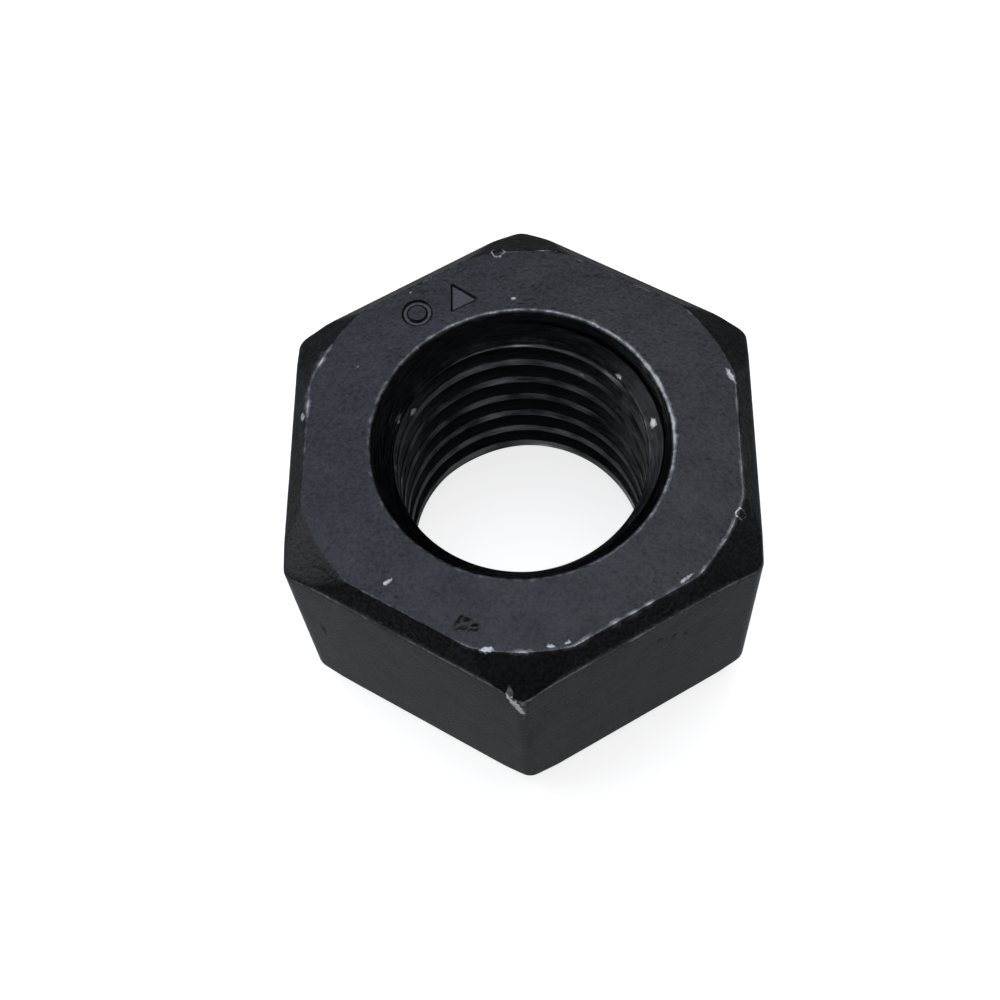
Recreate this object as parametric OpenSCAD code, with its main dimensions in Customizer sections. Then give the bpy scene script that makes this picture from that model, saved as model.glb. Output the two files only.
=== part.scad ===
// Heavy hex nut with a one inch, eight threads per inch bore.
// One forged and tapped piece of steel, drawn standing on its lower bearing face.
// The origin is the middle of that face. +Z is the bore axis. Flats face +X and -X.

/* [Body] */
// Width across two opposite flats, in mm
across_flats = 41.28; // [40:0.01:43]
// Height from one bearing face to the other
nut_height = 25; // [22:0.5:28]
// Diameter that the six upright corners are turned down to
corner_d = 47.25; // [45.5:0.05:47.5]

/* [Edge bevels] */
// How far the bevel above and below each flat runs in over the bearing face
bevel_inset = 1.55; // [0.8:0.05:2.2]
// How far the bevel runs down each flat
bevel_depth = 1.45; // [0.8:0.05:2.2]
// Diameter of the bearing face where its corners are turned away
face_d = 40; // [38.5:0.1:41]
// Angle of the turned corner chamfer below the bearing face
chamfer_angle = 30; // [20:1:40]

/* [Thread] */
// Major diameter of the thread
thread_major_d = 25.4; // [25:0.05:26]
// Diameter of the tapped hole between the thread's grooves
thread_minor_d = 22.6; // [22:0.05:23]
// Distance from one thread to the next
thread_pitch = 3.175; // [3:0.025:3.5]
// Direction, seen from above, in which the groove's middle leaves the lower face
groove_exit_angle = 227; // [0:1:359]
// Diameter of the countersink at each face
countersink_d = 26.8; // [26.2:0.1:27.4]
// Included angle of the countersink
countersink_angle = 82; // [70:1:130]

/* [Stamped marks] */
// Depth of the marks in the upper face
mark_depth = 0.25; // [0.1:0.05:0.5]
// Direction of the marks from the bore
mark_angle = 118; // [0:1:359]
// Distance of the marks from the bore's axis
mark_radius = 16.3; // [15.8:0.1:16.8]
// Size of each mark
mark_size = 2.8; // [2:0.1:3.2]
// Width of the ring's stamped line
mark_line = 0.55; // [0.3:0.05:0.8]

/* [Hidden] */
// Sides that stand for a full circle
round_sides = 96;
// Sections of the groove in one turn
groove_steps = 36;
// Flat at the bottom of the groove, one eighth of the pitch
root_flat = thread_pitch / 8;
// Half of the sixty degree angle between the groove's flanks
flank_angle = 30;
// Cutters run past the surface they cut by this much
overrun = 1;
// The blank's three pairs of flats are cut from bars this long
bar_length = 2 * corner_d;
major_r = thread_major_d / 2;
minor_r = thread_minor_d / 2;
// The groove's cutter starts this far inside the tapped hole's wall
groove_inner_r = minor_r - 0.9;
countersink_r = countersink_d / 2;
countersink_slope = tan(countersink_angle / 2);

// A bar with one pair of flats and a bevel along each of its four edges
module flat_pair() {
    half = across_flats / 2;
    rotate([90, 0, 0])
    linear_extrude(height = bar_length, center = true)
        polygon([
            [bevel_inset - half, 0],
            [half - bevel_inset, 0],
            [half, bevel_depth],
            [half, nut_height - bevel_depth],
            [half - bevel_inset, nut_height],
            [bevel_inset - half, nut_height],
            [-half, nut_height - bevel_depth],
            [-half, bevel_depth]
        ]);
}

// The envelope that the corners are turned to, coned at both ends. The hull keeps it
// many-sided, so that a flat's edges are straight lines that a wrench's jaw can be laid on.
module turned_envelope() {
    face_r = face_d / 2;
    corner_r = corner_d / 2;
    cone_depth = (corner_r - face_r) * tan(chamfer_angle);
    hull()
    rotate_extrude($fn = round_sides)
        polygon([
            [0, 0],
            [face_r, 0],
            [corner_r, cone_depth],
            [corner_r, nut_height - cone_depth],
            [face_r, nut_height],
            [0, nut_height]
        ]);
}

// The forged blank: six flats, beveled edges and turned corners
module blank() {
    intersection() {
        flat_pair();
        rotate([0, 0, 60]) flat_pair();
        rotate([0, 0, 120]) flat_pair();
        turned_envelope();
    }
}

// A countersink whose wide end is at z = 0 and whose point is below it
module countersink() {
    wide_r = countersink_r + overrun * countersink_slope;
    cone_height = wide_r / countersink_slope;
    translate([0, 0, overrun - cone_height])
        cylinder(h = cone_height, r1 = 0, r2 = wide_r, $fn = round_sides);
}

// Half of the groove's opening at radius r
function half_opening(r) = root_flat / 2 + (major_r - r) * tan(flank_angle);

// The groove's section as [radius, height] corners
function groove_section() = [
    [groove_inner_r, -half_opening(groove_inner_r)],
    [groove_inner_r, half_opening(groove_inner_r)],
    [major_r, root_flat / 2],
    [major_r, -root_flat / 2]
];

// A corner of the section after turning by angle a and rising with the thread
function on_helix(corner, a) = [
    corner[0] * cos(a + groove_exit_angle),
    corner[0] * sin(a + groove_exit_angle),
    corner[1] + thread_pitch * a / 360
];

// The right-hand groove, one turn longer than the nut at each end
module thread_groove() {
    section = groove_section();
    sides = len(section);
    steps = (ceil(nut_height / thread_pitch) + 2) * groove_steps;
    step_angle = 360 / groove_steps;
    points = [
        for (i = [0:steps])
            for (corner = section)
                on_helix(corner, (i - groove_steps) * step_angle)
    ];
    walls = [
        for (i = [0:steps - 1])
            for (j = [0:sides - 1])
                let (k = (j + 1) % sides)
                    [i * sides + j, (i + 1) * sides + j, (i + 1) * sides + k, i * sides + k]
    ];
    first_end = [for (j = [0:sides - 1]) j];
    last_end = [for (j = [sides - 1:-1:0]) steps * sides + j];
    polyhedron(points = points, faces = concat(walls, [first_end, last_end]), convexity = 12);
}

// The tapped hole with a countersink at both faces
module tapped_hole() {
    translate([0, 0, -overrun])
        cylinder(h = nut_height + 2 * overrun, r = minor_r, $fn = round_sides);
    translate([0, 0, nut_height]) countersink();
    mirror([0, 0, 1]) countersink();
    thread_groove();
}

// Two plain stamped marks in the upper face: a ring and a triangle
module stamped_marks() {
    half = mark_size / 2;
    spacing = 0.75 * mark_size;
    translate([0, 0, nut_height - mark_depth])
    rotate([0, 0, mark_angle])
    translate([mark_radius, 0, 0]) {
        translate([0, spacing, 0])
            difference() {
                cylinder(h = overrun, r = half, $fn = round_sides);
                cylinder(h = overrun, r = half - mark_line, $fn = round_sides);
            }
        translate([0, -spacing, 0])
            linear_extrude(height = overrun)
                polygon([[half, 0], [-half, half], [-half, -half]]);
    }
}

module hex_nut() {
    color([0.17, 0.18, 0.2])
    difference() {
        blank();
        tapped_hole();
        stamped_marks();
    }
}

hex_nut();
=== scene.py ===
"""A heavy hex nut of blackened forged steel, on a pale floor in soft studio light.

The nut is one piece of steel, so it is one mesh. A sheet is wrapped round the bore's axis to make
the skin, a second sheet is wound into the tapped bore, and the two are welded. Marks of making and
of use are then pressed into the finer stretches of that mesh.
"""

import logging
import math
from collections.abc import Callable
from dataclasses import dataclass, field
from enum import Enum

import bmesh
import bpy
import numpy as np
from mathutils import Matrix, Vector, noise


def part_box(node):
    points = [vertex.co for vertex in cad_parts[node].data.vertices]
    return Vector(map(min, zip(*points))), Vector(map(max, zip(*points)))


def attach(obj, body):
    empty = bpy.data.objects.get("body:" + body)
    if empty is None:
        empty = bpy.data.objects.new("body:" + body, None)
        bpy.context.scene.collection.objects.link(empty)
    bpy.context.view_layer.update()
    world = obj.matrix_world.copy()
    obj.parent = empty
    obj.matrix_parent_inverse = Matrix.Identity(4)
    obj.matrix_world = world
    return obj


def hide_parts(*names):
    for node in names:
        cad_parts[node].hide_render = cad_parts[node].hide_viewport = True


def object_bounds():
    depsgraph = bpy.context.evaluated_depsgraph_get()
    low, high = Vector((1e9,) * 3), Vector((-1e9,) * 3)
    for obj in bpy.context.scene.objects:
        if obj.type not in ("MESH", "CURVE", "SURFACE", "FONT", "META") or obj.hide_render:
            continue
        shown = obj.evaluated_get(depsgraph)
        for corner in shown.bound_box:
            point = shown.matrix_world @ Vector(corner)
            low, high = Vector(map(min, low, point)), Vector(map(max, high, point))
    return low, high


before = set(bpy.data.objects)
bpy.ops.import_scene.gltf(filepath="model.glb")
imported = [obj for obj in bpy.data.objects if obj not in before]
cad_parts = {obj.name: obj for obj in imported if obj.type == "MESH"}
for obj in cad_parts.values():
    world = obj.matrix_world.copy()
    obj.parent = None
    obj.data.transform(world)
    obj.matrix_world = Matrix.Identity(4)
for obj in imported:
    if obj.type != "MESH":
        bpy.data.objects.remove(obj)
CAD_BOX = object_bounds()

MM = 0.001  # the script's sizes are in millimetres and its meshes in metres
LOG = logging.getLogger("hex_nut")


# ---------------------------------------------------------------------------------------------
# Small tools


def deselect_all() -> None:
    """Leave object mode with nothing selected."""
    if bpy.context.object and bpy.context.object.mode != "OBJECT":
        bpy.ops.object.mode_set(mode="OBJECT")
    bpy.ops.object.select_all(action="DESELECT")


def make_active(piece: bpy.types.Object) -> None:
    """Select one object alone and make it the active one."""
    deselect_all()
    piece.select_set(True)
    bpy.context.view_layer.objects.active = piece


def smooth_step(low: float, high: float, value: np.ndarray) -> np.ndarray:
    """Rise smoothly from 0 at low to 1 at high."""
    t = np.clip((value - low) / (high - low), 0.0, 1.0)
    return t * t * (3.0 - 2.0 * t)


def smooth_max(a: np.ndarray, b: np.ndarray, blend: float) -> np.ndarray:
    """Take the larger of two values, with the corner between them rounded.

    Args:
        a: The first values.
        b: The second values.
        blend: How far from the corner the rounding starts.

    Returns:
        The rounded maximum.
    """
    gap = np.clip(0.5 + 0.5 * (a - b) / blend, 0.0, 1.0)
    return b + (a - b) * gap + blend * gap * (1.0 - gap)


def nearness(distance: np.ndarray, reach: np.ndarray | float) -> np.ndarray:
    """Give 1 at no distance, falling evenly to 0 at the reach, and 0 beyond it."""
    return np.clip(1 - distance / np.maximum(reach, 0.02), 0.0, 1.0)


def noise_at(points: np.ndarray, grain: float, seed: float = 0.0) -> np.ndarray:
    """Read smooth noise at some points.

    Args:
        points: Rows of x, y, z in mm.
        grain: Size of the noise's features in mm.
        seed: A shift that gives another pattern.

    Returns:
        One value from -1 to 1 for each point.
    """
    scaled = points / grain + np.array([seed, 0.37 * seed, -0.61 * seed])
    return np.array([noise.noise(Vector(row)) for row in scaled])


# ---------------------------------------------------------------------------------------------
# The nut


class Mark(Enum):
    """Kinds of mark on the steel."""

    DENT = "a shallow hollow"
    NICK = "a short cut that shows bare metal"
    BURR = "a raised crumb of bare metal"
    CRATER = "a hollow with a raised rim"


@dataclass(frozen=True)
class Blemish:
    """One mark of making or use, at a place on the surface.

    Attributes:
        kind: What sort of mark it is.
        place: Its middle, in mm.
        length: Its size along its direction, in mm.
        width: Its size across that, in mm.
        depth: How deep or high it is, in mm.
        bare: How much bare metal shows in it, from 0 to 1.
        direction: The way it runs.
        ragged: How uneven its outline is.
    """

    kind: Mark
    place: tuple[float, float, float]
    length: float
    width: float
    depth: float
    bare: float
    direction: tuple[float, float, float] = (1.0, 0.0, 0.0)
    ragged: float = 0.35

    def press(self, points: np.ndarray, normal: np.ndarray) -> tuple[np.ndarray, np.ndarray]:
        """Work out what the mark does to each point.

        Args:
            points: Rows of x, y, z in mm.
            normal: The surface's normals there.

        Returns:
            The move along the normal in mm, and how much bare metal shows.
        """
        lift, bare = np.zeros(len(points)), np.zeros(len(points))
        offset = points - np.array(self.place)
        near = np.flatnonzero(np.linalg.norm(offset, axis=1) < 1.2 * max(self.length, self.width))
        if not len(near):
            return lift, bare
        offset = offset[near]
        nearest = near[np.linalg.norm(offset, axis=1).argmin()]
        up = normal[nearest]
        along = np.array(self.direction) - up * np.dot(self.direction, up)
        along /= np.linalg.norm(along)
        across = np.cross(up, along)
        far = np.hypot(offset @ along / (self.length / 2), offset @ across / (self.width / 2))
        grain = 0.3 * min(self.length, self.width)
        far = far * (1 + self.ragged * noise_at(points[near], grain + 0.05, self.place[0]))
        dome = np.clip(1 - far**2, 0.0, 1.0)
        ring = np.exp(-(((far - 1.0) / 0.22) ** 2))
        shapes = {
            Mark.DENT: -(dome**1.5) + 0.12 * ring,
            Mark.NICK: -np.clip(1 - far, 0.0, 1.0) + 0.15 * ring,
            Mark.BURR: dome * (0.7 + 0.6 * noise_at(points[near], 0.18, 5.0)),
            Mark.CRATER: ring * (far < 2) - 0.5 * dome,
        }
        lift[near] = self.depth * shapes[self.kind]
        shown = {Mark.DENT: 0.6 * ring, Mark.CRATER: ring}.get(self.kind, dome**0.5)
        bare[near] = self.bare * shown
        return lift, bare


@dataclass(frozen=True)
class Stamp:
    """Two plain marks stamped in the upper face, a ring and a solid triangle, in mm and degrees.

    Attributes:
        angle: Direction of the point midway between them.
        radius: Distance of that point from the bore's axis.
        size: Height of each mark.
        line: Width of the ring's line.
        depth: How deep they are struck.
    """

    angle: float = 118.0
    radius: float = 16.3
    size: float = 2.8
    line: float = 0.55
    depth: float = 0.25

    def local(self, points: np.ndarray) -> tuple[np.ndarray, np.ndarray]:
        """Measure each point from the marks' middle.

        Args:
            points: Rows of x, y, z in mm.

        Returns:
            How far each is outwards from the bore, and how far to the side.
        """
        turn = math.radians(self.angle)
        x, y = points[:, 0], points[:, 1]
        out = x * math.cos(turn) + y * math.sin(turn) - self.radius
        return out, y * math.cos(turn) - x * math.sin(turn)

    def distance(self, points: np.ndarray) -> np.ndarray:
        """Measure from each point to the edge of the nearest mark.

        Args:
            points: Rows of x, y, z in mm.

        Returns:
            The distances in mm, negative inside a mark.
        """
        out, side = self.local(points)
        half, offset = self.size / 2, 0.75 * self.size
        ring = np.abs(np.hypot(out, side - offset) - (half - self.line / 2)) - self.line / 2
        across = side + offset
        lean = math.hypot(1.0, 2.0)
        slants = [(2 * across * sign + out - half) / lean for sign in (1, -1)]
        triangle = np.max([-half - out, *slants], axis=0)
        return np.minimum(ring, triangle)

    def sink(self, points: np.ndarray) -> np.ndarray:
        """Give how deep the stamped marks are at each point, with soft edges."""
        return self.depth * (1 - smooth_step(-0.16, 0.06, self.distance(points)))


@dataclass(frozen=True)
class Thread:
    """The right-hand internal thread, in mm and degrees.

    Attributes:
        major_r: Radius at the bottom of the groove.
        minor_r: Radius of the crests.
        pitch: Distance from one crest to the next.
        exit_angle: Direction in which the groove's middle leaves the lower face.
        rounding: How far the corners of the profile are rounded.
    """

    major_r: float = 12.7
    minor_r: float = 11.3
    pitch: float = 3.175
    exit_angle: float = 227.0
    rounding: float = 0.1

    def from_groove(self, angle: np.ndarray, z: np.ndarray) -> np.ndarray:
        """Measure along the axis from each point to the nearest groove's middle."""
        along = z - self.pitch * (angle - math.radians(self.exit_angle)) / math.tau
        return np.abs((along + self.pitch / 2) % self.pitch - self.pitch / 2)

    def radius(self, angle: np.ndarray, z: np.ndarray) -> np.ndarray:
        """Give the wall's radius at each angle and height.

        Args:
            angle: Angles about the axis, in radians.
            z: Heights in mm.

        Returns:
            The radius of the threaded wall in mm.
        """
        root_half = self.pitch / 16
        flank = self.major_r - (self.from_groove(angle, z) - root_half) / math.tan(math.radians(30))
        capped = -smooth_max(-flank, np.full_like(flank, -self.major_r), self.rounding)
        return smooth_max(capped, np.full_like(flank, self.minor_r), self.rounding)

    def row_heights(self) -> np.ndarray:
        """Give the heights of the mesh's rows over one pitch, closest where the profile bends."""
        half = self.pitch / 2
        crest_edge = self.pitch / 16 + (self.major_r - self.minor_r) * math.tan(math.radians(30))
        stops = [0.0, 0.17, 0.27, 0.6, crest_edge - 0.09, crest_edge - 0.025]
        stops += [crest_edge + 0.035, crest_edge + 0.1, crest_edge + 0.3, half]
        down = [self.pitch - stop for stop in reversed(stops[1:-1])]
        return np.array(stops + down)


@dataclass(frozen=True)
class Handling:
    """Where the nut is rubbed by handling, in degrees, and how far the rubbing reaches, in mm.

    Attributes:
        front: Middle of the long worn stretch of the face's outline.
        left: Middle of the short bright stretch on the left.
        right: Middle of the broken bright line on the right.
        rim_highlight_side: Side on which the bore's rubbed rim is made brightest: real rubbing all
            round, with a painted highlight added towards this side.
        band_side: Side on which the first thread is rubbed broadly.
        outline_reach: Half width of the rubbed line along the outline.
        facet_reach: The same along a flat's edges.
        corner_reach: The same along an upright corner.
        rim_reach: The same round the bore's rim.
        crest_reach: How far the rubbing on a crest runs up the thread's flanks.
        band_reach: How far it does on the first thread.
    """

    front: float = -52.0
    left: float = 161.0
    right: float = 2.0
    rim_highlight_side: float = 40.0
    band_side: float = 115.0
    outline_reach: float = 0.22
    facet_reach: float = 0.26
    corner_reach: float = 0.5
    rim_reach: float = 0.36
    crest_reach: float = 0.17
    band_reach: float = 0.9

    @staticmethod
    def facing(angle: np.ndarray, side: float) -> np.ndarray:
        """Give 1 where an angle in radians points to a side in degrees, and -1 opposite."""
        return np.cos(angle - math.radians(side))


@dataclass
class HexNut:
    """The nut: its sizes in mm, and the steps that make it.

    Attributes:
        flats: Width across flats.
        corners: Width across the rounded upright corners.
        height: Height between the bearing faces.
        bevel_inset: How far the flat bevels run in over a bearing face.
        bevel_depth: How far they run down a flat.
        face_r: Radius at which the bearing faces' corners are turned away.
        chamfer: Slope of the turned corners, in degrees.
        rim_r: Radius of the countersinks' rims.
        countersink: Half of the countersinks' included angle, in degrees.
        skin_columns: Mesh columns round the outside.
        bore_columns: Mesh columns round the bore.
        crowding: How much closer the columns stand at the upright corners.
        skin_start: Depth in a countersink at which the skin's mesh starts.
        bore_start: Depth in a countersink at which the bore's mesh starts.
        weld: How close two vertices are that become one.
        thread: The thread in the bore.
        stamp: The marks stamped in the upper face.
        handling: Where handling rubs it.
        blemishes: The marks of making and use.
    """

    flats: float
    corners: float
    height: float
    bevel_inset: float = 1.55
    bevel_depth: float = 1.45
    face_r: float = 20.0
    chamfer: float = 30.0
    rim_r: float = 13.4
    countersink: float = 41.0
    skin_columns: int = 432
    bore_columns: int = 216
    crowding: float = 0.3
    skin_start: float = 0.22
    bore_start: float = 0.5
    weld: float = 0.0002
    thread: Thread = field(default_factory=Thread)
    stamp: Stamp = field(default_factory=Stamp)
    handling: Handling = field(default_factory=Handling)
    blemishes: tuple[Blemish, ...] = ()

    @classmethod
    def from_box(cls, box: tuple) -> "HexNut":
        """Take the nut's overall sizes from the CAD model's box."""
        low, high = (np.array(corner) / MM for corner in box)
        flats, corners, height = (high - low).tolist()
        return cls(flats=flats, corners=corners, height=height)

    @property
    def apothem(self) -> float:
        """Half of the width across flats."""
        return self.flats / 2

    @property
    def corner_round(self) -> float:
        """Radius of the upright corners, from how far they fall short of a sharp hexagon."""
        short = self.apothem / math.cos(math.radians(30)) - self.corners / 2
        return short / (1 / math.cos(math.radians(30)) - 1)

    def angles(self, columns: int) -> np.ndarray:
        """Give the columns' angles, which crowd together at the upright corners."""
        even = np.arange(columns + 1) * math.tau / columns
        return even - self.crowding / 6 * np.sin(6 * (even - math.radians(30)))

    def from_flat(self, angle: np.ndarray) -> np.ndarray:
        """Give each angle's distance from the middle of its flat, in radians."""
        sixth = math.radians(60)
        return np.abs((angle + sixth / 2) % sixth - sixth / 2)

    def side_radius(self, angle: np.ndarray) -> np.ndarray:
        """Lay out the hexagon with its rounded upright corners.

        Args:
            angle: Angles about the axis, in radians.

        Returns:
            The hexagon's radius in mm at each angle.
        """
        off_flat = self.from_flat(angle)
        off_corner = math.radians(30) - off_flat
        radius = self.corner_round
        centre = (self.apothem - radius) / math.cos(math.radians(30))
        tangent = math.atan((self.apothem - radius) * math.tan(math.radians(30)) / self.apothem)
        inside = np.maximum(radius**2 - (centre * np.sin(off_corner)) ** 2, 0.0)
        arc = centre * np.cos(off_corner) + np.sqrt(inside)
        return np.where(off_flat > tangent, arc, self.apothem / np.cos(off_flat))

    def outline_radius(self, angle: np.ndarray) -> np.ndarray:
        """Give the radius of a bearing face's outline, a hexagon with turned corners."""
        flat = (self.apothem - self.bevel_inset) / np.cos(self.from_flat(angle))
        return -smooth_max(-flat, np.full_like(flat, -self.face_r), 0.12)

    def drop(self, radius: np.ndarray, angle: np.ndarray) -> np.ndarray:
        """Lay out the bevels and the turned corners.

        Args:
            radius: Distances from the axis in mm.
            angle: Angles about the axis, in radians.

        Returns:
            How far the surface lies below the bearing face's plane there, in mm.
        """
        across = radius * np.cos(self.from_flat(angle)) - (self.apothem - self.bevel_inset)
        bevel = across * self.bevel_depth / self.bevel_inset
        turned = (radius - self.face_r) * math.tan(math.radians(self.chamfer))
        return smooth_max(bevel, turned, 0.08)

    def half_section(self, angle: np.ndarray, face_rows: int) -> tuple[np.ndarray, np.ndarray]:
        """Lay out the rows of the skin from inside a countersink to half way down a flat.

        Args:
            angle: The columns' angles in radians.
            face_rows: How many rows cross the bearing face.

        Returns:
            The rows' radii, and their depths below the bearing face's plane.
        """
        outline, side = self.outline_radius(angle), self.side_radius(angle)
        slope, lean = math.tan(math.radians(self.countersink)), math.radians(self.countersink)
        full = np.ones_like(angle)
        rows = [
            ((self.rim_r - start * slope) * full, start * full)
            for start in (self.bore_start, self.skin_start)
        ]
        setback = 0.2
        for t in (0.0, 0.25, 0.5, 0.75, 1.0):
            inward = (1 - t) ** 2 * setback * math.sin(lean)
            radius = self.rim_r - inward + t**2 * setback
            rows.append((radius * full, (1 - t) ** 2 * setback * math.cos(lean) * full))
        inner, band = self.rim_r + 0.32, 0.45
        rows.append((inner * full, 0 * full))
        for t in np.linspace(0.0, 1.0, face_rows + 2)[1:-1]:
            rows.append((inner + t * (outline - band - inner), 0 * full))
        for step in (-band, -0.28, -0.15, -0.06, 0.0, 0.06, 0.15, 0.3):
            radius = outline + step
            fall = smooth_max(self.drop(radius, angle), 0 * full, 0.07) - 0.0175
            rows.append((radius, np.maximum(fall, 0)))
        setback = 0.3
        for t in (0.3, 0.6, 0.85):
            radius = outline + 0.3 + t * (side - setback - outline - 0.3)
            rows.append((radius, self.drop(radius, angle)))
        near, edge = side - setback, self.drop(side, angle)
        near_drop = self.drop(near, angle)
        for t in (0.0, 0.25, 0.5, 0.75, 1.0):
            radius = (1 - t) ** 2 * near + (1 - (1 - t) ** 2) * side
            depth = (1 - t) ** 2 * near_drop + 2 * t * (1 - t) * edge + t**2 * (edge + setback)
            rows.append((radius, depth))
        top = edge + setback
        for t in (0.025, 0.06, 0.12, 0.2, 0.3, 0.42, 0.56, 0.7, 0.85, 1.0):
            rows.append((side, top + t * (self.height / 2 - top)))
        radii, depths = (np.array(part) for part in zip(*rows))
        return radii, depths

    def skin_rows(self, angle: np.ndarray) -> tuple[np.ndarray, np.ndarray]:
        """Lay out the whole skin from the upper countersink down to the lower one.

        Args:
            angle: The columns' angles in radians.

        Returns:
            The rows' radii and heights.
        """
        upper_radii, upper_depths = self.half_section(angle, 15)
        lower_radii, lower_depths = self.half_section(angle, 3)
        below = slice(-2, None, -1)
        heights = np.concatenate([self.height - upper_depths, lower_depths[below]])
        return np.concatenate([upper_radii, lower_radii[below]]), heights

    def bore_rows(self, angle: np.ndarray) -> tuple[np.ndarray, np.ndarray]:
        """Lay out rows that climb with the thread and stop inside the countersinks.

        Args:
            angle: The columns' angles in radians.

        Returns:
            The rows' radii and heights.
        """
        thread, slope = self.thread, math.tan(math.radians(self.countersink))
        turns = math.ceil(self.height / thread.pitch) + 2
        base = thread.row_heights()
        starts = np.concatenate([base + thread.pitch * turn for turn in range(-1, turns)])
        climb = thread.pitch * (angle - math.radians(thread.exit_angle)) / math.tau
        z = starts[:, None] + climb[None, :]
        edge = (self.rim_r - thread.minor_r) / slope
        for level in (edge, self.height - edge):
            nearest = np.abs(z - level).argmin(axis=0)
            z[nearest, np.arange(len(angle))] = level
        z = np.clip(z, self.bore_start, self.height - self.bore_start)
        wall = thread.radius(np.broadcast_to(angle, z.shape), z)
        depth = np.minimum(z, self.height - z)
        radius = smooth_max(wall, self.rim_r - depth * slope, 0.05)
        ends = depth <= self.bore_start + 1e-6
        return np.where(ends, self.rim_r - self.bore_start * slope, radius), z

    def wrap_sheet(self, columns: int, rows_of: Callable) -> bpy.types.Object:
        """Wrap a flat grid round the bore's axis.

        Args:
            columns: How many columns the grid has.
            rows_of: The method that gives each row's radii and heights.

        Returns:
            The wrapped sheet, open at its two ends.
        """
        angle = self.angles(columns)
        radii, heights = rows_of(angle)
        deselect_all()
        bpy.ops.mesh.primitive_grid_add(
            x_subdivisions=columns, y_subdivisions=len(radii) - 1, size=1, location=(0, 0, 0)
        )
        sheet = bpy.context.object
        flat = np.empty(len(sheet.data.vertices) * 3)
        sheet.data.vertices.foreach_get("co", flat)
        flat = flat.reshape(-1, 3)
        column = np.rint((flat[:, 0] + 0.5) * columns).astype(int)
        row = np.rint((flat[:, 1] + 0.5) * (len(radii) - 1)).astype(int)
        ends = (row == 0) | (row == len(radii) - 1)
        column -= np.where(ends, column % (columns // self.bore_columns), 0)
        radius, turn = radii[row, column], angle[column]
        spots = [radius * np.cos(turn), radius * np.sin(turn), heights[row, column]]
        sheet.data.vertices.foreach_set("co", (np.stack(spots, axis=1) * MM).ravel())
        bpy.ops.object.mode_set(mode="EDIT")
        bpy.ops.mesh.select_all(action="SELECT")
        bpy.ops.mesh.remove_doubles(threshold=self.weld * MM)
        bpy.ops.object.mode_set(mode="OBJECT")
        return sheet

    def weld_sheets(self, skin: bpy.types.Object, bore: bpy.types.Object) -> None:
        """Join the two sheets along the rings where they meet, inside the countersinks.

        Args:
            skin: The outer sheet, which becomes the whole nut.
            bore: The threaded sheet.
        """
        make_active(skin)
        bore.select_set(True)
        bpy.ops.object.join()
        bpy.ops.object.mode_set(mode="EDIT")
        bpy.ops.mesh.select_all(action="SELECT")
        bpy.ops.mesh.remove_doubles(threshold=self.weld * MM)
        bpy.ops.mesh.normals_make_consistent(inside=False)
        bpy.ops.object.mode_set(mode="OBJECT")

    def subdivide_where(
        self, piece: bpy.types.Object, chosen: Callable, cuts: int
    ) -> None:
        """Cut some faces finer.

        Args:
            piece: The nut.
            chosen: Tells, for rows of face centres in mm, which faces are cut.
            cuts: How many times each of their edges is cut.
        """
        make_active(piece)
        centres = np.empty(len(piece.data.polygons) * 3)
        piece.data.polygons.foreach_get("center", centres)
        picked = chosen(centres.reshape(-1, 3) / MM)
        bpy.ops.object.mode_set(mode="EDIT")
        bpy.ops.mesh.select_all(action="DESELECT")
        bpy.ops.object.mode_set(mode="OBJECT")
        piece.data.polygons.foreach_set("select", picked)
        bpy.ops.object.mode_set(mode="EDIT")
        bpy.ops.mesh.select_mode(type="FACE")
        bpy.ops.mesh.subdivide(number_cuts=cuts, smoothness=0.0)
        bpy.ops.object.mode_set(mode="OBJECT")

    def near_outline(self, places: np.ndarray) -> np.ndarray:
        """Tell which places lie within the band along the upper face's outline."""
        radius, angle = np.hypot(places[:, 0], places[:, 1]), np.arctan2(places[:, 1], places[:, 0])
        off = np.abs(radius - self.outline_radius(angle))
        return (off < 0.4) & (places[:, 2] > self.height - 1.0)

    def near_stamp(self, places: np.ndarray) -> np.ndarray:
        """Tell which places lie in or beside the stamped marks."""
        deep = self.stamp.distance(places) < 0.3
        return deep & (places[:, 2] > self.height - 0.2)

    def near_blemish(self, places: np.ndarray) -> np.ndarray:
        """Tell which places lie in or beside a blemish.

        Args:
            places: Rows of x, y, z in mm.

        Returns:
            True for each place that does, outside the bore.
        """
        close = np.zeros(len(places), dtype=bool)
        for mark in self.blemishes:
            reach = 0.62 * max(mark.length, mark.width) + 0.15
            close |= np.linalg.norm(places - np.array(mark.place), axis=1) < reach
        return close & (np.hypot(places[:, 0], places[:, 1]) > self.rim_r + 0.2)

    def build(self) -> bpy.types.Object:
        """Make the nut's mesh, in two sheets that are welded, then cut finer and marked.

        Returns:
            The finished piece.
        """
        skin = self.wrap_sheet(self.skin_columns, self.skin_rows)
        bore = self.wrap_sheet(self.bore_columns, self.bore_rows)
        self.weld_sheets(skin, bore)
        skin.name = skin.data.name = "nut_forging"
        self.subdivide_where(skin, self.near_outline, 1)
        self.subdivide_where(skin, self.near_stamp, 4)
        self.subdivide_where(skin, self.near_blemish, 2)
        self.mark(skin)
        bpy.ops.object.shade_smooth()
        return skin

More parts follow.
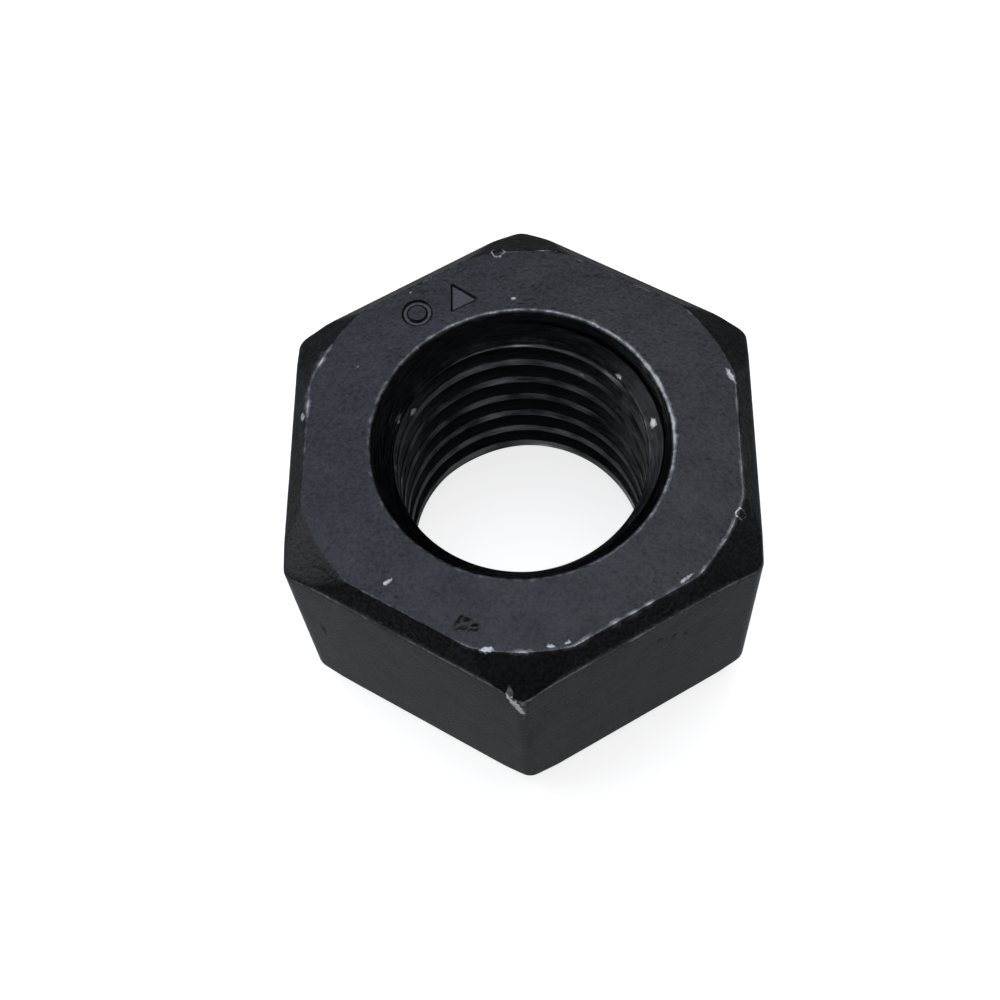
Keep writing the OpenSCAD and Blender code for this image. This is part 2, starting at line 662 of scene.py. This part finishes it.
    def mark(self, piece: bpy.types.Object) -> None:
        """Press the marks into the mesh and write what the finishes read.

        Args:
            piece: The nut.
        """
        mesh = piece.data
        count = len(mesh.vertices)
        co, normal = np.empty(count * 3), np.empty(count * 3)
        mesh.vertices.foreach_get("co", co)
        mesh.vertex_normals.foreach_get("vector", normal)
        points, normal = co.reshape(-1, 3) / MM, normal.reshape(-1, 3)
        wear, lift, bare = self.edge_wear(points), np.zeros(count), np.zeros(count)
        radius = np.hypot(points[:, 0], points[:, 1])
        stamped = points[:, 2] > self.height - 0.2
        sink = self.stamp.sink(points)
        lift -= np.where(stamped, sink, 0.0)
        outside = radius > self.rim_r + 0.3
        lift += np.where(outside, self.edge_chips(points, wear), 0.0)
        for mark in self.blemishes:
            raised, shown = mark.press(points, normal)
            lift += raised
            bare = np.maximum(bare, shown)
        moved = points + normal * lift[:, None]
        low = np.array([-self.flats / 2, -self.corners / 2, 0.0])
        high = np.array([self.flats / 2, self.corners / 2, self.height])
        moved = np.clip(moved, low, high)
        mesh.vertices.foreach_set("co", (moved * MM).ravel())
        # The stamp's depth is written out so that the material paints the stamped floors lighter, a
        # painted highlight.
        for name, values in (("wear", wear), ("bare", bare), ("stamp", np.where(stamped, sink, 0))):
            layer = mesh.attributes.new(name, "FLOAT", "POINT")
            layer.data.foreach_set("value", values.astype(np.float32))
        mesh.update()

    def edge_chips(self, points: np.ndarray, wear: np.ndarray) -> np.ndarray:
        """Give how far small chips and rolled-over metal move the worn edges.

        Args:
            points: Rows of x, y, z in mm.
            wear: How close each is to a worn edge, from 0 to 1.

        Returns:
            The move along the normal at each point, in mm, negative inwards.
        """
        move = np.zeros(len(points))
        edge = np.flatnonzero(wear > 0.02)
        rough = noise_at(points[edge], 0.55, 3.0) + 0.6 * noise_at(points[edge], 0.22, 8.0)
        worn = np.clip(wear[edge], 0.0, 1.0)
        move[edge] = -worn * (0.012 + 0.05 * np.clip(rough + 0.1, 0.0, 1.0))
        return move

    def edge_wear(self, points: np.ndarray) -> np.ndarray:
        """Give how hard handling has rubbed each point, with a painted highlight added to the
        bore's rim on one side.

        Args:
            points: Rows of x, y, z in mm.

        Returns:
            Values from 0, untouched oxide, to 1.4, polished steel.
        """
        rub = self.handling
        radius, angle = np.hypot(points[:, 0], points[:, 1]), np.arctan2(points[:, 1], points[:, 0])
        depth = np.minimum(points[:, 2], self.height - points[:, 2])
        outline, side = self.outline_radius(angle), self.side_radius(angle)
        patchy = noise_at(points, 2.2, 4.0)
        fine = noise_at(points, 0.7, 6.0)
        broken = smooth_step(-0.3, 0.35, noise_at(points, 1.1, 9.0))
        near_front = smooth_step(0.55, 0.95, rub.facing(angle, rub.front))
        near_left = smooth_step(0.975, 0.992, rub.facing(angle, rub.left))
        near_right = smooth_step(0.93, 0.99, rub.facing(angle, rub.right))
        widest = np.maximum(near_front, near_left)
        reach = rub.outline_reach + 0.2 * np.clip(patchy, 0, 1) + 0.16 * widest
        on_outline = nearness(np.abs(radius - outline), reach) * (depth < 0.6)
        on_outline *= 0.42 + 0.5 * patchy + 0.5 * near_front + 0.6 * near_left + 0.4 * near_right
        on_outline *= 0.5 + 0.75 * broken
        facet_edge = self.drop(side, angle) + 0.03
        to_facet = np.hypot(depth - facet_edge, radius - side)
        on_facet = nearness(to_facet, rub.facet_reach) * (0.6 + 0.55 * patchy)
        to_corner = (math.radians(30) - self.from_flat(angle)) * self.corners / 2
        upper_end = 1 - smooth_step(3.0, 8.0, self.height - points[:, 2])
        on_corner = nearness(to_corner, rub.corner_reach) * (0.44 + 0.35 * fine)
        on_corner *= 0.35 + 0.65 * upper_end
        on_corner *= radius > side - 0.05
        to_rim = np.hypot(depth, radius - self.rim_r)
        rim_rub_and_highlight = nearness(to_rim, rub.rim_reach + 0.12 * fine)
        # Painted highlight: the rim's rubbing is made stronger towards one side, over the real
        # rubbing all round.
        rim_rub_and_highlight *= 0.92 + 0.62 * rub.facing(angle, rub.rim_highlight_side) + 0.75 * fine
        up_flank = radius - self.thread.minor_r
        crest = nearness(up_flank, rub.crest_reach + 0.15 * fine)
        turns_down = depth + self.thread.pitch * (angle - math.pi / 2) / math.tau
        first = 1 - smooth_step(2.4, 3.6, turns_down)
        deep = smooth_step(3.0, 14.0, turns_down)
        behind = 0.55 + 0.45 * rub.facing(angle, rub.band_side)
        band = 0.85 * first * behind * nearness(up_flank, rub.band_reach)
        crest = np.maximum(crest, band * (0.85 + 0.7 * fine))
        crest *= 0.55 + 0.4 * patchy + 0.3 * first - 0.22 * deep
        on_crest = np.where(radius < self.rim_r - 0.5, crest, 0)
        wear = np.max([on_outline, on_facet, on_corner, rim_rub_and_highlight, on_crest], axis=0)
        return np.clip(wear, 0.0, 1.4)


# ---------------------------------------------------------------------------------------------
# Finishes


def linear(code: str, alpha: float = 1.0) -> tuple[float, float, float, float]:
    """Turn an sRGB hex colour into Blender's linear one."""
    parts = [int(code.lstrip("#")[i : i + 2], 16) / 255 for i in (0, 2, 4)]
    bent = [p / 12.92 if p <= 0.04045 else ((p + 0.055) / 1.055) ** 2.4 for p in parts]
    return (*bent, alpha)


def add_node(
    tree: bpy.types.NodeTree, kind: str, settings: dict | None = None, links: dict | None = None
) -> bpy.types.Node:
    """Add a node with its settings and links.

    Args:
        tree: The node tree.
        kind: The node's type.
        settings: Properties by name, and values of input sockets by name or number.
        links: The output socket that feeds each input socket, by its name or number.

    Returns:
        The new node.
    """
    node = tree.nodes.new(kind)
    for key, value in (settings or {}).items():
        if isinstance(key, str) and hasattr(node, key):
            setattr(node, key, value)
        else:
            node.inputs[key].default_value = value
    for key, socket in (links or {}).items():
        tree.links.new(socket, node.inputs[key])
    return node


def math_node(tree: bpy.types.NodeTree, operation: str, first: object, second: object) -> object:
    """Add a Math node and give its result.

    Args:
        tree: The node tree.
        operation: What it does.
        first: A number or a socket.
        second: A number or a socket.

    Returns:
        The socket with the result.
    """
    settings, links = {"operation": operation}, {}
    for index, value in enumerate((first, second)):
        target = links if isinstance(value, bpy.types.NodeSocket) else settings
        target[index] = value
    return add_node(tree, "ShaderNodeMath", settings, links).outputs[0]


@dataclass(frozen=True)
class Speckle:
    """One layer of noise, read in the piece's own millimetres.

    Attributes:
        grain: Size of its features in mm.
        low: Noise value that gives 0.
        high: Noise value that gives 1.
        detail: How many finer layers it carries.
        stretch: How much longer its features are across each axis.
    """

    grain: float
    low: float = 0.35
    high: float = 0.65
    detail: float = 2.0
    stretch: tuple[float, float, float] = (1.0, 1.0, 1.0)

    def socket(self, tree: bpy.types.NodeTree, place: bpy.types.NodeSocket) -> object:
        """Add the layer's nodes.

        Args:
            tree: The node tree.
            place: The socket with Object coordinates, in metres.

        Returns:
            The socket with values from 0 to 1.
        """
        scale = tuple(1 / (self.grain * MM * s) for s in self.stretch)
        sized = add_node(tree, "ShaderNodeMapping", {"Scale": scale}, {"Vector": place})
        settings = {"Scale": 1.0, "Detail": self.detail}
        links = {"Vector": sized.outputs[0]}
        grey = add_node(tree, "ShaderNodeTexNoise", settings, links)
        limits = {"From Min": self.low, "From Max": self.high, "clamp": True}
        ranged = add_node(tree, "ShaderNodeMapRange", limits, {"Value": grey.outputs[0]})
        return ranged.outputs[0]


def mix_colours(tree: bpy.types.NodeTree, amount: object, first: object, second: object) -> object:
    """Mix two colours.

    Args:
        tree: The node tree.
        amount: The socket that says how much of the second shows.
        first: A socket or a fixed colour.
        second: A socket or a fixed colour.

    Returns:
        The socket with the result.
    """
    settings, links = {"data_type": "RGBA"}, {0: amount}
    for index, value in ((6, first), (7, second)):
        target = links if isinstance(value, bpy.types.NodeSocket) else settings
        target[index] = value
    return add_node(tree, "ShaderNodeMix", settings, links).outputs[2]


def ramp(
    tree: bpy.types.NodeTree,
    value: object,
    low: float,
    high: float,
    start: object = 0.0,
    end: object = 1.0,
) -> object:
    """Add a clamped Map Range node.

    Args:
        tree: The node tree.
        value: The socket to read.
        low: The value that gives the start.
        high: The value that gives the end.
        start: The result at low, a number or a socket.
        end: The result at high, a number or a socket.

    Returns:
        The socket with the result.
    """
    settings, links = {"clamp": True, "From Min": low, "From Max": high}, {"Value": value}
    for key, limit in (("To Min", start), ("To Max", end)):
        target = links if isinstance(limit, bpy.types.NodeSocket) else settings
        target[key] = limit
    return add_node(tree, "ShaderNodeMapRange", settings, links).outputs[0]


@dataclass(frozen=True)
class BlackenedSteel:
    """Carbon steel with a black oxide skin, rubbed through where it is handled.

    Attributes:
        name: The material's name.
        dark: The darker tone of the oxide.
        light: The lighter tone of the oxide.
        burnished: Oxide that rubbing has polished thin; the stamped marks' floors are also painted
            this tone, as a painted highlight.
        bare: Steel that shows where the oxide is gone.
        edge_tint: How strongly the skin mirrors at a low angle.
        roughness: Roughness of the oxide.
        bare_roughness: Roughness of the bare steel.
        mottle: Slow changes of tone.
        grain: The blasted or cut grain.
        pits: Scattered small hollows.
        chips: The raggedness of the rubbed places.
        relief: Height of the grain in mm.
    """

    name: str
    dark: str
    light: str
    burnished: str
    bare: str
    edge_tint: str
    roughness: float
    bare_roughness: float
    mottle: Speckle
    grain: Speckle
    pits: Speckle
    chips: Speckle
    relief: float

    def material(self) -> bpy.types.Material:
        """Make the material.

        Returns:
            The material, with its nodes.
        """
        material = bpy.data.materials.new(self.name)
        material.use_nodes = True
        tree = material.node_tree
        tree.nodes.clear()
        place = add_node(tree, "ShaderNodeTexCoord").outputs["Object"]
        layers = (self.mottle, self.grain, self.pits, self.chips)
        mottle, grain, pits, chips = (layer.socket(tree, place) for layer in layers)
        wear, nick, stamp = (
            add_node(tree, "ShaderNodeAttribute", {"attribute_name": name}).outputs["Fac"]
            for name in ("wear", "bare", "stamp")
        )
        slow = math_node(tree, "MULTIPLY", mottle, 0.25)
        tone = math_node(tree, "ADD", slow, math_node(tree, "MULTIPLY", grain, 0.75))
        oxide = mix_colours(tree, tone, linear(self.dark), linear(self.light))
        ragged = math_node(tree, "MULTIPLY", chips, 0.45)
        rubbed = math_node(tree, "ADD", wear, ragged)
        # Painted highlight: the stamped marks' sunken floors are mixed towards the burnished tone.
        painted_stamp_highlight = math_node(tree, "MULTIPLY", stamp, 1.1)
        polish_and_painted_highlight = math_node(tree, "MAXIMUM", ramp(tree, rubbed, 0.45, 1.05), painted_stamp_highlight)
        thin = mix_colours(tree, polish_and_painted_highlight, oxide, linear(self.burnished))
        torn = math_node(tree, "ADD", nick, ragged)
        shown = math_node(
            tree, "MAXIMUM", ramp(tree, rubbed, 1.1, 1.45), ramp(tree, torn, 0.6, 0.95)
        )
        colour = mix_colours(tree, shown, thin, linear(self.bare))
        dull = ramp(tree, grain, 0.0, 1.0, self.roughness - 0.05, self.roughness + 0.06)
        rough = ramp(tree, shown, 0.0, 1.0, dull, self.bare_roughness)
        height = math_node(tree, "ADD", grain, pits)
        settings = {"Strength": 1.0, "Distance": self.relief * MM}
        bump = add_node(tree, "ShaderNodeBump", settings, {"Height": height})
        links = {"Base Color": colour, "Roughness": rough, "Normal": bump.outputs[0]}
        settings = {"Metallic": 1.0, "Specular Tint": linear(self.edge_tint)}
        shader = add_node(tree, "ShaderNodeBsdfPrincipled", settings, links)
        add_node(tree, "ShaderNodeOutputMaterial", {}, {"Surface": shader.outputs[0]})
        return material


# Forged steel, shot-blasted and then blackened in a hot bath. The blasting leaves a fine even
# grain with scattered pits, and the oxide gives it a soft dark sheen.
FORGED_SKIN = BlackenedSteel(
    name="black_oxide_forged_steel",
    dark="#232425",
    light="#3d3e40",
    burnished="#606265",
    bare="#96989a",
    edge_tint="#b2b2b2",
    roughness=0.38,
    bare_roughness=0.34,
    mottle=Speckle(3.0, 0.3, 0.7, 2.0),
    grain=Speckle(0.31, 0.28, 0.72, 4.0),
    pits=Speckle(0.55, 0.2, 0.36, 0.0),
    chips=Speckle(0.4, 0.25, 0.75, 4.0),
    relief=0.018,
)

# The same steel where a countersink and a tap have cut it, blackened after cutting. The cutter
# leaves fine lines round the bore, and the oil it is kept in makes it a little glossier.
TAPPED_BORE = BlackenedSteel(
    name="black_oxide_tapped_steel",
    dark="#1c1e1f",
    light="#36383b",
    burnished="#56585b",
    bare="#a3a5a7",
    edge_tint="#a0a0a0",
    roughness=0.36,
    bare_roughness=0.3,
    mottle=Speckle(2.5, 0.3, 0.7, 2.0, (1.0, 1.0, 0.5)),
    grain=Speckle(0.14, 0.3, 0.7, 2.0, (14.0, 14.0, 1.0)),
    pits=Speckle(0.8, 0.27, 0.4, 1.0, (2.0, 2.0, 0.6)),
    chips=Speckle(0.6, 0.25, 0.75, 4.0, (2.5, 2.5, 0.5)),
    relief=0.02,
)


# ---------------------------------------------------------------------------------------------
# The studio


@dataclass(frozen=True)
class SoftBox:
    """A rectangular softbox aimed at the nut.

    Attributes:
        name: What it is called.
        azimuth: Its direction round the nut in degrees, from +X towards +Y.
        elevation: Its height above the floor in degrees.
        distance: How far it is, in metres.
        width: Its width in metres.
        height: Its height in metres.
        radiance: How bright its face is.
        tint: Its colour.
    """

    name: str
    azimuth: float
    elevation: float
    distance: float
    width: float
    height: float
    radiance: float
    tint: str = "#ffffff"

    def place(self, target: Vector) -> None:
        """Add the lamp.

        Args:
            target: The point that it faces, in metres.
        """
        turn, rise = math.radians(self.azimuth), math.radians(self.elevation)
        flat = math.cos(rise)
        way = Vector((flat * math.cos(turn), flat * math.sin(turn), math.sin(rise)))
        deselect_all()
        bpy.ops.object.light_add(type="AREA", location=target + way * self.distance)
        lamp = bpy.context.object
        lamp.name = lamp.data.name = self.name
        lamp.rotation_euler = way.to_track_quat("Z", "Y").to_euler()
        lamp.data.shape = "RECTANGLE"
        lamp.data.size, lamp.data.size_y = self.width, self.height
        lamp.data.energy = self.radiance * math.pi * self.width * self.height
        lamp.data.color = linear(self.tint)[:3]
        lamp.visible_camera = False


@dataclass(frozen=True)
class Studio:
    """The floor, the lamps, the surroundings and the camera.

    Attributes:
        floor_size: Length of the floor's side in metres.
        floor_colour: The floor's colour.
        floor_glow: How much the floor is lit from beneath, as a light table is.
        surround: How bright the dark room is.
        eye: The camera's place in mm.
        aim: The point it looks at, in mm.
        roll: How far its right side tips down, in degrees.
        lens: Its focal length in mm, on a sensor 36 mm wide.
        lamps: The softboxes.
    """

    floor_size: float = 3.0
    floor_colour: str = "#e2e2e2"
    floor_glow: float = 0.8
    surround: float = 0.13
    eye: tuple[float, float, float] = (4.45, -66.67, 146.24)
    aim: tuple[float, float, float] = (-2.45, 0.27, 12.51)
    roll: float = 6.303
    lens: float = 56.75
    lamps: tuple[SoftBox, ...] = (
        SoftBox("back_left_softbox", 122, 63, 0.6, 0.4, 0.62, 1.5, "#dde8ff"),
        SoftBox("back_right_softbox", 58, 63, 0.6, 0.4, 0.62, 1.38, "#f6f6fb"),
        SoftBox("left_softbox", 165, 34, 0.6, 0.45, 0.4, 1.5),
        SoftBox("right_softbox", 25, 40, 0.6, 0.3, 0.3, 0.45),
    )

    def build(self) -> None:
        """Make everything round the nut."""
        self.lay_floor()
        middle = Vector((0.0, 0.0, 0.012))
        for lamp in self.lamps:
            lamp.place(middle)
        self.fill_room()
        self.place_camera()
        bpy.context.scene.view_settings.view_transform = "Standard"

    def lay_floor(self) -> None:
        """Lay a plain pale floor at the nut's lower face."""
        deselect_all()
        bpy.ops.mesh.primitive_plane_add(size=self.floor_size, location=(0, 0, CAD_BOX[0][2]))
        floor = bpy.context.object
        floor.name = floor.data.name = "floor"
        bpy.ops.object.transform_apply(location=True, rotation=True, scale=True)
        material = bpy.data.materials.new("white_acrylic_sheet")
        material.use_nodes = True
        shader = material.node_tree.nodes["Principled BSDF"]
        shader.inputs["Base Color"].default_value = linear(self.floor_colour)
        shader.inputs["Roughness"].default_value = 0.6
        shader.inputs["Emission Color"].default_value = linear("#ffffff")
        shader.inputs["Emission Strength"].default_value = self.floor_glow
        floor.data.materials.append(material)

    def fill_room(self) -> None:
        """Make the room dark to the lamps' reflections and pale behind the floor."""
        world = bpy.data.worlds.new("dark_room")
        bpy.context.scene.world = world
        world.use_nodes = True
        tree = world.node_tree
        tree.nodes.clear()
        seen = add_node(tree, "ShaderNodeLightPath").outputs["Is Camera Ray"]
        dark = add_node(
            tree, "ShaderNodeBackground", {"Color": linear("#f2f4f8"), "Strength": self.surround}
        )
        pale = add_node(tree, "ShaderNodeBackground", {"Color": linear("#f6f6f6"), "Strength": 1.0})
        sockets = {0: seen, 1: dark.outputs[0], 2: pale.outputs[0]}
        mixed = add_node(tree, "ShaderNodeMixShader", {}, sockets)
        add_node(tree, "ShaderNodeOutputWorld", {}, {"Surface": mixed.outputs[0]})

    def place_camera(self) -> None:
        """Set the camera where the nut is seen from, a little rolled."""
        eye, aim = Vector(self.eye) * MM, Vector(self.aim) * MM
        ahead = (aim - eye).normalized()
        level = ahead.cross(Vector((0, 0, 1))).normalized()
        raised = level.cross(ahead)
        tip = math.radians(-self.roll)
        right = level * math.cos(tip) + raised * math.sin(tip)
        above = right.cross(ahead)
        deselect_all()
        bpy.ops.object.camera_add(location=eye)
        camera = bpy.context.object
        camera.name = camera.data.name = "camera"
        turned = Matrix((right, above, -ahead)).transposed().to_4x4()
        camera.matrix_world = Matrix.Translation(eye) @ turned
        camera.data.lens, camera.data.sensor_width = self.lens, 36.0
        camera.data.clip_start = 0.01
        bpy.context.scene.camera = camera


# ---------------------------------------------------------------------------------------------
# Making the scene


BLEMISHES = (
    Blemish(Mark.BURR, (-19.69, 2.84, 24.8), 1.1, 0.6, 0.1, 1.0, (0, 1, 0)),
    Blemish(Mark.BURR, (-2.9, -19.75, 24.85), 1.5, 0.7, 0.12, 0.9),
    Blemish(Mark.NICK, (2.47, -19.5, 24.95), 1.0, 0.35, 0.04, 0.9),
    Blemish(Mark.NICK, (3.84, -19.2, 24.95), 0.7, 0.35, 0.04, 0.8, (0.97, 0.2, 0)),
    Blemish(Mark.NICK, (13.77, -13.6, 24.95), 1.9, 0.5, 0.04, 0.75, (0.8, 0.6, 0)),
    Blemish(Mark.CRATER, (18.63, -7.64, 24.7), 0.9, 0.85, 0.08, 0.9, (0, 1, 0)),
    Blemish(Mark.NICK, (18.61, 6.02, 24.8), 2.1, 0.6, 0.06, 0.8, (0.5, -0.87, 0)),
    Blemish(Mark.DENT, (-4.83, -17.33, 25.0), 1.9, 1.5, 0.19, 0.3, (1, 0.3, 0), 0.5),
    Blemish(Mark.DENT, (-3.9, -17.7, 25.0), 0.9, 0.8, 0.18, 0.1),
    Blemish(Mark.NICK, (-11.23, -13.47, 25.0), 1.1, 0.45, 0.08, 1.0, (0.75, 0.66, 0)),
    Blemish(Mark.DENT, (-10.5, -15.1, 25.0), 0.9, 0.6, 0.09, 0.0, (0.6, -0.8, 0)),
    Blemish(Mark.CRATER, (-2.11, 20.04, 24.95), 1.1, 1.1, 0.05, 0.6),
    Blemish(Mark.NICK, (2.28, 20.02, 24.95), 2.6, 0.25, 0.04, 0.75),
    Blemish(Mark.NICK, (-0.64, 14.71, 25.0), 0.5, 0.4, 0.05, 0.9),
    Blemish(Mark.DENT, (-0.1, 14.3, 25.0), 0.9, 0.5, 0.07, 0.2),
    Blemish(Mark.NICK, (-10.1, 15.6, 25.0), 0.5, 0.4, 0.05, 0.8),
    Blemish(Mark.NICK, (-14.9, 7.6, 25.0), 1.8, 0.16, 0.015, 0.5, (0.75, 0.66, 0)),
    Blemish(Mark.NICK, (-14.3, 8.4, 25.0), 1.5, 0.14, 0.015, 0.5, (0.75, 0.66, 0)),
    Blemish(Mark.NICK, (-15.5, 7.0, 25.0), 1.3, 0.13, 0.015, 0.45, (0.75, 0.66, 0)),
    Blemish(Mark.NICK, (-13.8, 9.3, 25.0), 1.1, 0.13, 0.015, 0.45, (0.75, 0.66, 0)),
    Blemish(Mark.BURR, (-1.0, -23.2, 23.0), 2.0, 0.6, 0.16, 1.4, (0.4, 0, -1), 0.4),
    Blemish(Mark.BURR, (-0.5, -23.4, 21.9), 2.6, 0.75, 0.18, 1.4, (0.3, 0, -1), 0.5),
    Blemish(Mark.BURR, (-0.15, -23.5, 20.6), 1.8, 0.45, 0.12, 1.3, (0.15, 0, -1), 0.5),
    Blemish(Mark.DENT, (0.5, -23.4, 22.3), 1.2, 0.8, 0.12, 0.0, (0.2, 0, -1)),
    Blemish(Mark.DENT, (-18.23, -13.31, 13.92), 1.2, 0.8, 0.14, 0.1, (0, 0, 1)),
    Blemish(Mark.DENT, (13.95, -15.78, 18.39), 0.75, 0.7, 0.16, 0.1),
    Blemish(Mark.DENT, (12.9, -16.4, 19.2), 0.7, 0.65, 0.15, 0.1),
    Blemish(Mark.DENT, (11.68, -17.09, 19.93), 0.85, 0.65, 0.16, 0.1),
    Blemish(Mark.NICK, (8.6, 7.3, 23.1), 0.9, 0.5, 0.06, 1.0, (0.7, -0.7, 0)),
    Blemish(Mark.NICK, (11.4, 2.5, 23.2), 1.6, 0.5, 0.06, 1.0, (0.3, -0.95, 0)),
    Blemish(Mark.NICK, (-11.2, 3.4, 22.8), 1.3, 0.5, 0.06, 1.0, (0.3, 0.95, 0)),
    Blemish(Mark.NICK, (-10.0, 5.4, 20.6), 1.2, 0.4, 0.05, 0.9, (0.5, 0.85, 0)),
    Blemish(Mark.NICK, (-11.3, 0.0, 17.4), 1.1, 0.45, 0.05, 0.9, (0, 1, 0)),
    Blemish(Mark.BURR, (5.53, 9.85, 19.38), 1.3, 0.6, 0.12, 0.7, (0.87, -0.5, 0)),
)


def assign_finishes(nut: HexNut, piece: bpy.types.Object) -> None:
    """Give the skin and the cut bore their finishes.

    Args:
        nut: The nut's sizes.
        piece: Its mesh.
    """
    mesh = piece.data
    mesh.materials.clear()
    for finish in (FORGED_SKIN, TAPPED_BORE):
        mesh.materials.append(finish.material())
    centres = np.empty(len(mesh.polygons) * 3)
    mesh.polygons.foreach_get("center", centres)
    centres = centres.reshape(-1, 3) / MM
    cut = np.hypot(centres[:, 0], centres[:, 1]) < nut.rim_r - 0.15
    mesh.polygons.foreach_set("material_index", cut.astype(np.int32))


def main() -> None:
    """Build the nut and the studio round it."""
    logging.basicConfig(level=logging.INFO, format="%(name)s: %(message)s")
    nut = HexNut.from_box(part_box("hex_nut"))
    nut.blemishes = BLEMISHES
    piece = nut.build()
    assign_finishes(nut, piece)
    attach(piece, "root")
    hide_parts("hex_nut")
    tally = bmesh.new()
    tally.from_mesh(piece.data)
    open_edges = sum(1 for edge in tally.edges if not edge.is_manifold)
    triangles = sum(len(face.verts) - 2 for face in tally.faces)
    tally.free()
    LOG.info("%s: %d triangles, %d open edges", piece.name, triangles, open_edges)
    Studio().build()


if __name__ == "__main__":
    main()
